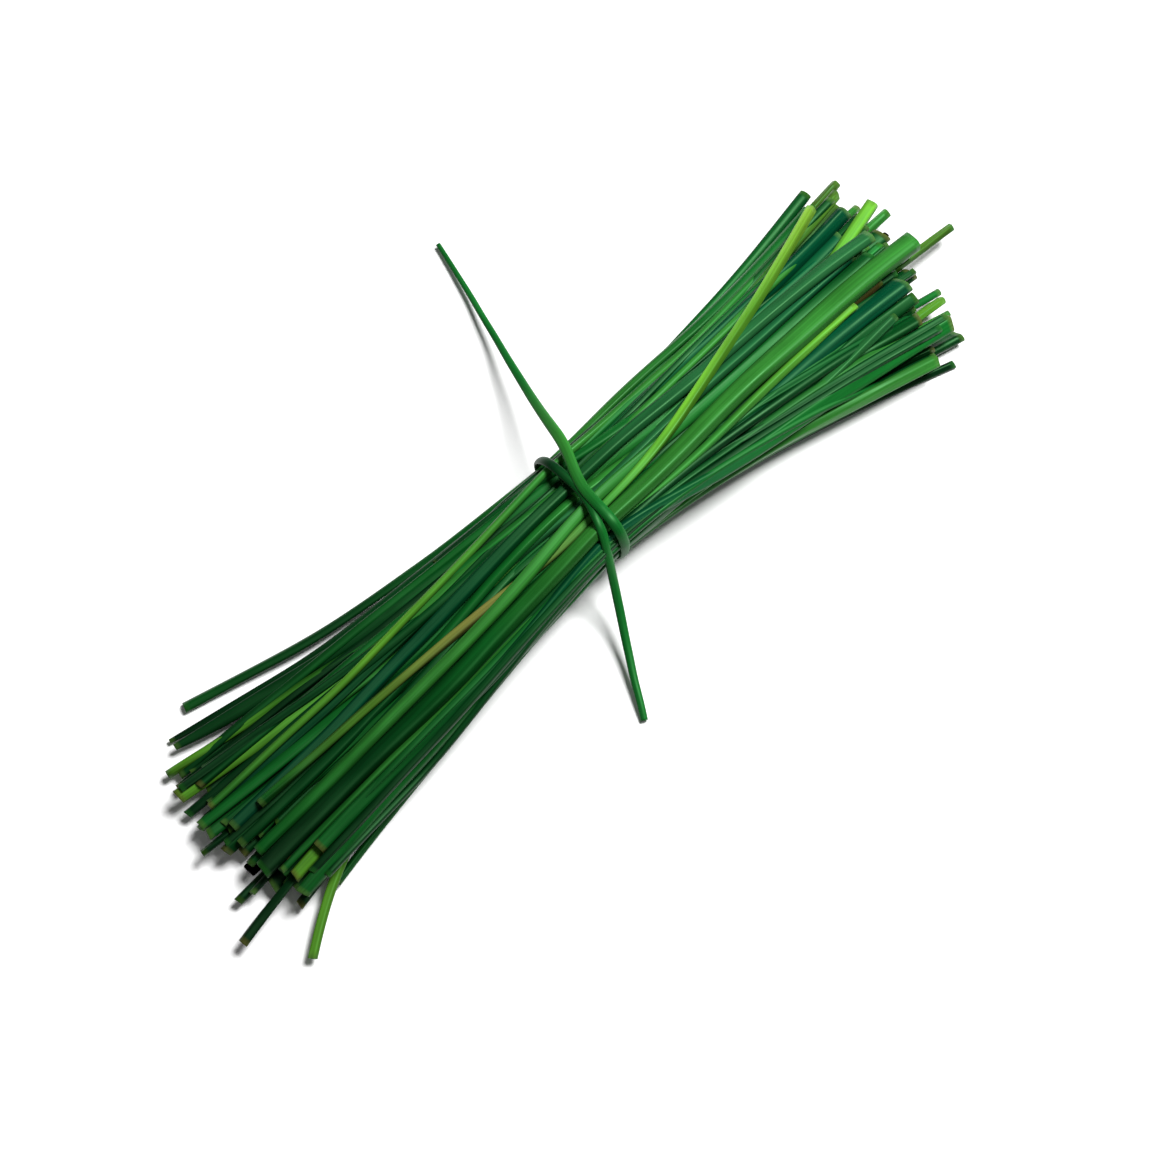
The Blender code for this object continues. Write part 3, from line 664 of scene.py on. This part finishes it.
def tie_piece():
    """The tie's leaf as an oval carried along its course, flat side towards the bunch.

    A corner is the course's middle, plus the half width times cos(angle) across, plus the half
    thickness times sin(angle) outwards from the bunch.
    """
    rings = tube_rings("tie_leaf", np.array([0, 1.0, 0]))
    middles = np.array([ring.mean(axis=0) for ring in rings])
    run = distance_along(middles)
    middle = calmed(run, middles, np.linspace(0, run[-1], TIE_ROWS), np.full(TIE_ROWS, TIE_CALMING))
    distance = distance_along(middle)
    length = distance[-1]
    out = middle - TIE_MIDDLE
    out[:, 0] = 0
    away = np.clip((np.linalg.norm(out, axis=1) - BUNCH_REACH) / FREE_WITHIN, 0, 1)[:, None]
    sinks = (
        TIE_SINKS
        + FIRST_PASS_SINKS * np.interp(distance, FIRST_PASS, [0, 1, 1, 0])
        + SECOND_PASS_SINKS * np.interp(distance, SECOND_PASS, [0, 1, 1, 0])
    )
    middle = middle - unit(out) * (1 - away) * sinks[:, None]
    ahead = unit(np.gradient(middle, axis=0))
    out = unit(unit(out) * (1 - away) + np.array([0, 0, 1.0]) * away)
    across = unit(np.cross(out, ahead))
    up = np.cross(ahead, across)

    width_at = [0, TIE_THIN_TO, TIE_WIDE_FROM, length - TIE_THIN_TO, length]
    thickness_at = [0, TIE_THIN_TO, TIE_WIDE_FROM, length]
    width = TIE_HALF_WIDTH * np.interp(distance, width_at, TIE_WIDTHS)
    thickness = TIE_HALF_THICKNESS * np.interp(distance, thickness_at, TIE_THICKNESSES)
    angles = np.linspace(0, 2 * math.pi, LEAF_SIDES, endpoint=False)
    wide = width[:, None] * np.cos(angles)
    high = thickness[:, None] * np.sin(angles)
    body = middle[:, None] + across[:, None] * wide[..., None] + up[:, None] * high[..., None]
    end_rings = []
    for end, share, forward in TIE_END_RINGS:
        ring = (
            middle[end]
            + across[end] * wide[end][:, None] * share
            + up[end] * high[end][:, None] * share
            + ahead[end] * forward
        )
        end_rings.append(ring[None])
    points = np.concatenate(end_rings[:2] + [body] + end_rings[2:])

    start_at = [distance[0] + forward for end, share, forward in TIE_END_RINGS[:2]]
    end_at = [distance[-1] + forward for end, share, forward in TIE_END_RINGS[2:]]
    row_at = np.concatenate([start_at, distance, end_at])
    colour = greens_along(TIE_GREENS, row_at, length)
    # Painted light on one edge of the tie and painted shade on the other
    colour *= (1 + PAINTED_TIE_EDGE_LIGHT * np.cos(angles))[None, :, None]
    pattern_at = np.broadcast_to(row_at[:, None], points.shape[:2])
    pattern_across = np.broadcast_to(TIE_HALF_WIDTH * np.cos(angles), points.shape[:2])
    pattern_up = np.broadcast_to(TIE_HALF_THICKNESS * np.sin(angles), points.shape[:2])
    straight = np.stack([pattern_at, pattern_across, pattern_up], axis=-1)
    return tube_piece("tie", leaf_skin("tie_leaf"), points, straight, colour)


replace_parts(tie_piece(), "tie_leaf")

# The table, the light and the camera
# A plain white table top, one broad soft lamp high on the right with a weak one opposite, and a
# camera that looks down steeply, as the photograph's did.
TABLE_SIDE = 3
TABLE_DROP = 0.2 * MM
bpy.ops.mesh.primitive_plane_add(size=TABLE_SIDE, location=(0, 0, -TABLE_DROP))
table = bpy.context.object
table.name = "table"
paint = bpy.data.materials.new("white_table")
paint.use_nodes = True
paint.node_tree.nodes["Principled BSDF"].inputs["Base Color"].default_value = (0.92, 0.92, 0.92, 1)
paint.node_tree.nodes["Principled BSDF"].inputs["Roughness"].default_value = 0.7
table.data.materials.append(paint)


def turned(place, right, back):
    """The matrix of a thing at this place, whose own axes are right, back times right, and back."""
    turn = Matrix(np.column_stack([right, np.cross(back, right), back]).tolist()).to_4x4()
    turn.translation = place
    return turn


# Name, place in metres, side in metres, and power in watts
LIGHTS = (
    ("key", (0.55, -0.10, 1.15), 0.45, 27),
    ("fill", (-0.6, -0.5, 0.9), 0.9, 0.8),
)
for name, place, side, power in LIGHTS:
    lamp = bpy.data.lights.new(name, "AREA")
    lamp.size = side
    lamp.energy = power
    lamp_object = bpy.data.objects.new(name, lamp)
    back = unit(np.array(place))
    lamp_object.matrix_world = turned(place, unit(np.cross([0, 0, 1], back)), back)
    bpy.context.scene.collection.objects.link(lamp_object)

world = bpy.data.worlds.new("studio")
world.use_nodes = True
world.node_tree.nodes["Background"].inputs["Color"].default_value = (1, 1, 1, 1)
world.node_tree.nodes["Background"].inputs["Strength"].default_value = 0.08
bpy.context.scene.world = world
bpy.context.scene.view_settings.view_transform = "Standard"

PHOTO_SIDE = 1170
PIXEL = 0.2 * MM
TIE_IN_PHOTO = (583, 505)
AZIMUTH = math.radians(-40.2)
ELEVATION = math.radians(70)
LENS = 85
SENSOR = 36
level = math.cos(ELEVATION)
right = np.array([math.cos(AZIMUTH), math.sin(AZIMUTH), 0])
back = np.array([math.sin(AZIMUTH) * level, -math.cos(AZIMUTH) * level, math.sin(ELEVATION)])
up = np.cross(back, right)
target = TIE_MIDDLE + PIXEL * (
    (PHOTO_SIDE / 2 - TIE_IN_PHOTO[0]) * right + (TIE_IN_PHOTO[1] - PHOTO_SIDE / 2) * up
)
camera = bpy.data.cameras.new("camera")
camera.lens = LENS
camera.sensor_width = SENSOR
camera_object = bpy.data.objects.new("camera", camera)
camera_object.matrix_world = turned(target + back * PHOTO_SIDE * PIXEL * LENS / SENSOR, right, back)
bpy.context.scene.collection.objects.link(camera_object)
bpy.context.scene.camera = camera_object
